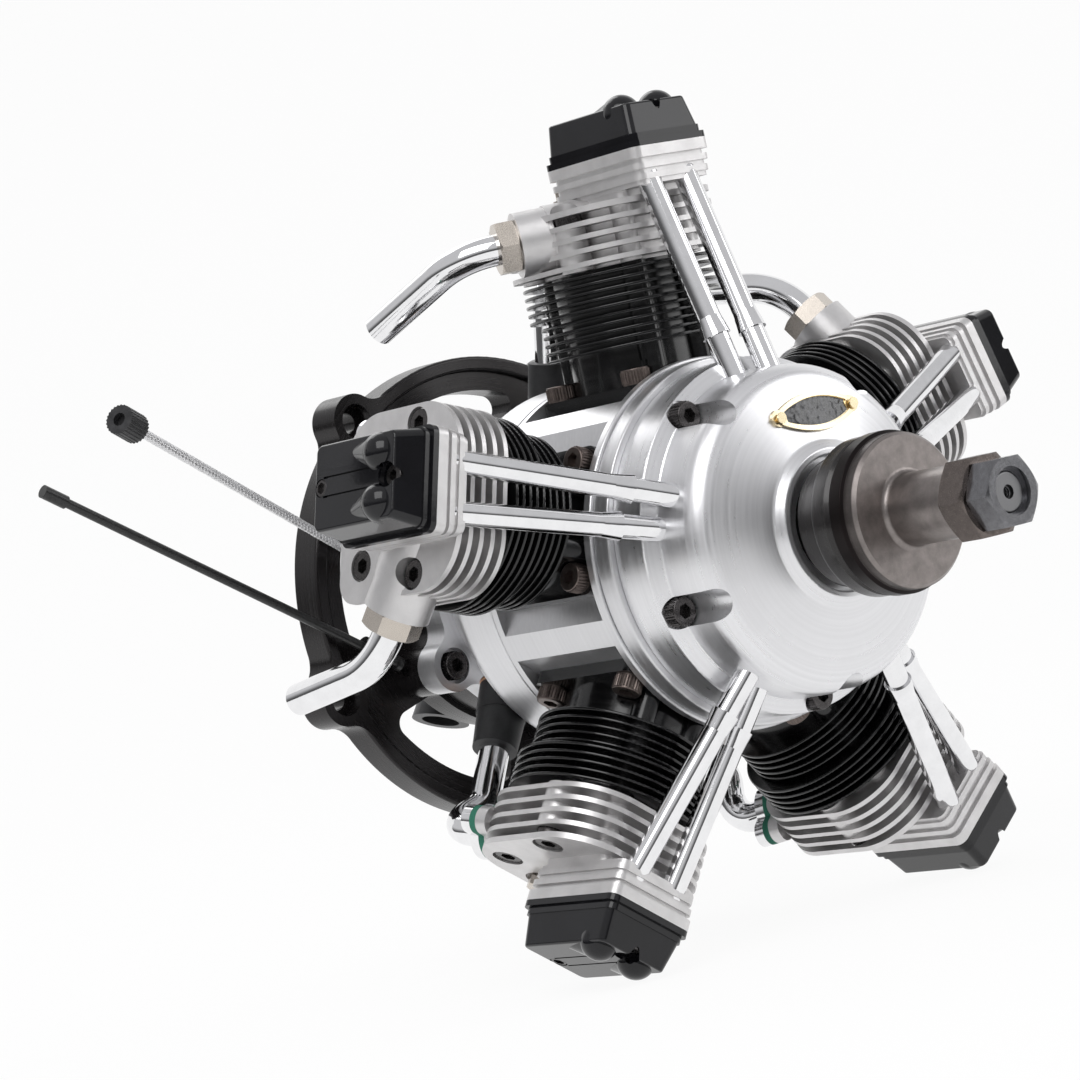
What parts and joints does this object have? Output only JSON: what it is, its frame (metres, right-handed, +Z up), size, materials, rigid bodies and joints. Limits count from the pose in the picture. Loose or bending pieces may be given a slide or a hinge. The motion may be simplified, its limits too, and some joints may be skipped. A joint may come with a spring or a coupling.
{
  "type": "radial aircraft engine",
  "caption": "Small air-cooled radial piston engine for a large model aircraft, with finned cylinders, overhead valves, a geared cam drum, a rear mount ring and a front propeller hub.",
  "frame": {"origin": "on the crank axis in the rear firewall face of the mount ring", "axes": "+Y along the crank axis to the rear, propeller end at -Y, +Z up through the first cylinder"},
  "size_m": [0.2519, 0.2173, 0.2114],
  "materials": {
    "black_steel": "black oxide",
    "boot_rubber": "satin",
    "bright_steel": "ground",
    "brown_steel": "brown oxide",
    "cable_steel": "braided",
    "carb_black": "satin black",
    "carb_brass": "machined",
    "case_metal": "turned",
    "chrome": "polished",
    "cover_black": "gloss black",
    "cylinder_black": "gloss black",
    "dark_steel": "oiled",
    "gasket": "matt",
    "head_metal": "bead blasted",
    "hub_black": "satin black",
    "knob_black": "knurled",
    "nickel": "nickel plated",
    "piston_metal": "machined",
    "plate_brass": "polished rim",
    "ring_black": "satin black",
    "rod_black": "satin black",
    "washer_steel": "phosphated"
  },
  "bodies": {
    "engine": {"base_screws": "brown_steel", "bearing_carrier": "case_metal", "carb_screws": "black_steel", "carburettor": "carb_black", "cover_screws": "black_steel", "crankcase": "case_metal", "cylinder_1": "cylinder_black", "cylinder_2": "cylinder_black", "cylinder_3": "cylinder_black", "cylinder_4": "cylinder_black", "cylinder_5": "cylinder_black", "cylinder_head_1": "head_metal", "cylinder_head_2": "head_metal", "cylinder_head_3": "head_metal", "cylinder_head_4": "head_metal", "cylinder_head_5": "head_metal", "exhaust_nuts": "nickel", "exhaust_pipe_1": "chrome", "exhaust_pipe_2": "chrome", "exhaust_pipe_3": "chrome", "exhaust_pipe_4": "chrome", "exhaust_pipe_5": "chrome", "gear_case": "case_metal", "gear_case_screws": "black_steel", "glow_plugs": "nickel", "head_bolts": "black_steel", "induction_cover": "case_metal", "inlet_boots": "boot_rubber", "inlet_gaskets": "gasket", "inlet_pipes": "chrome", "knuckle_pins": "bright_steel", "link_rods": "piston_metal", "main_bearings": "bright_steel", "master_rod": "piston_metal", "mount_ring": "ring_black", "mount_screws": "black_steel", "name_plate": "plate_brass", "pistons": "piston_metal", "pushrod_tubes": "chrome", "pushrods": "bright_steel", "rocker_arms": "bright_steel", "valve_cover_1": "cover_black", "valve_cover_2": "cover_black", "valve_cover_3": "cover_black", "valve_cover_4": "cover_black", "valve_cover_5": "cover_black", "valve_springs": "bright_steel", "valves": "bright_steel", "wrist_pins": "bright_steel"},
    "crank": {"crankshaft": "bright_steel", "drive_hub": "hub_black", "prop_washer": "washer_steel", "prop_nut": "washer_steel", "lock_nut": "dark_steel"},
    "cam": {"cam_drum": "bright_steel"},
    "idler": {"idler_gear": "bright_steel"},
    "throttle": {"throttle_barrel": "carb_brass"},
    "needle_valve": {"needle": "cable_steel", "needle_knob": "knob_black"},
    "choke": {"choke_rod": "rod_black"}
  },
  "joints": [
    {"name": "crank_spin", "type": "hinge", "parent": "engine", "child": "crank", "pos_m": [0, -0.12, 0], "axis": [0, 1, 0], "continuous": true},
    {"name": "idler_spin", "type": "hinge", "parent": "engine", "child": "idler", "pos_m": [0, -0.112, 0.018], "axis": [0, 1, 0], "continuous": true},
    {"name": "cam_spin", "type": "hinge", "parent": "engine", "child": "cam", "pos_m": [0, -0.12, 0], "axis": [0, 1, 0], "continuous": true},
    {"name": "throttle_turn", "type": "hinge", "parent": "engine", "child": "throttle", "pos_m": [-0.0032, 0.008, -0.0052], "axis": [-0.8379, -0.3659, 0.4051], "range_deg": [0, 75]},
    {"name": "needle_turn", "type": "hinge", "parent": "engine", "child": "needle_valve", "pos_m": [-0.0032, 0.008, -0.0052], "axis": [-0.8379, -0.3659, 0.4051], "range_deg": [0, 1440]},
    {"name": "choke_pull", "type": "slide", "parent": "engine", "child": "choke", "axis": [-0.8415, 0, 0.5403], "range_m": [0, 0.006]}
  ],
  "couplings": [
    {"joint": "idler_spin", "follows": "crank_spin", "ratio": -1},
    {"joint": "cam_spin", "follows": "crank_spin", "ratio": -0.25}
  ]
}
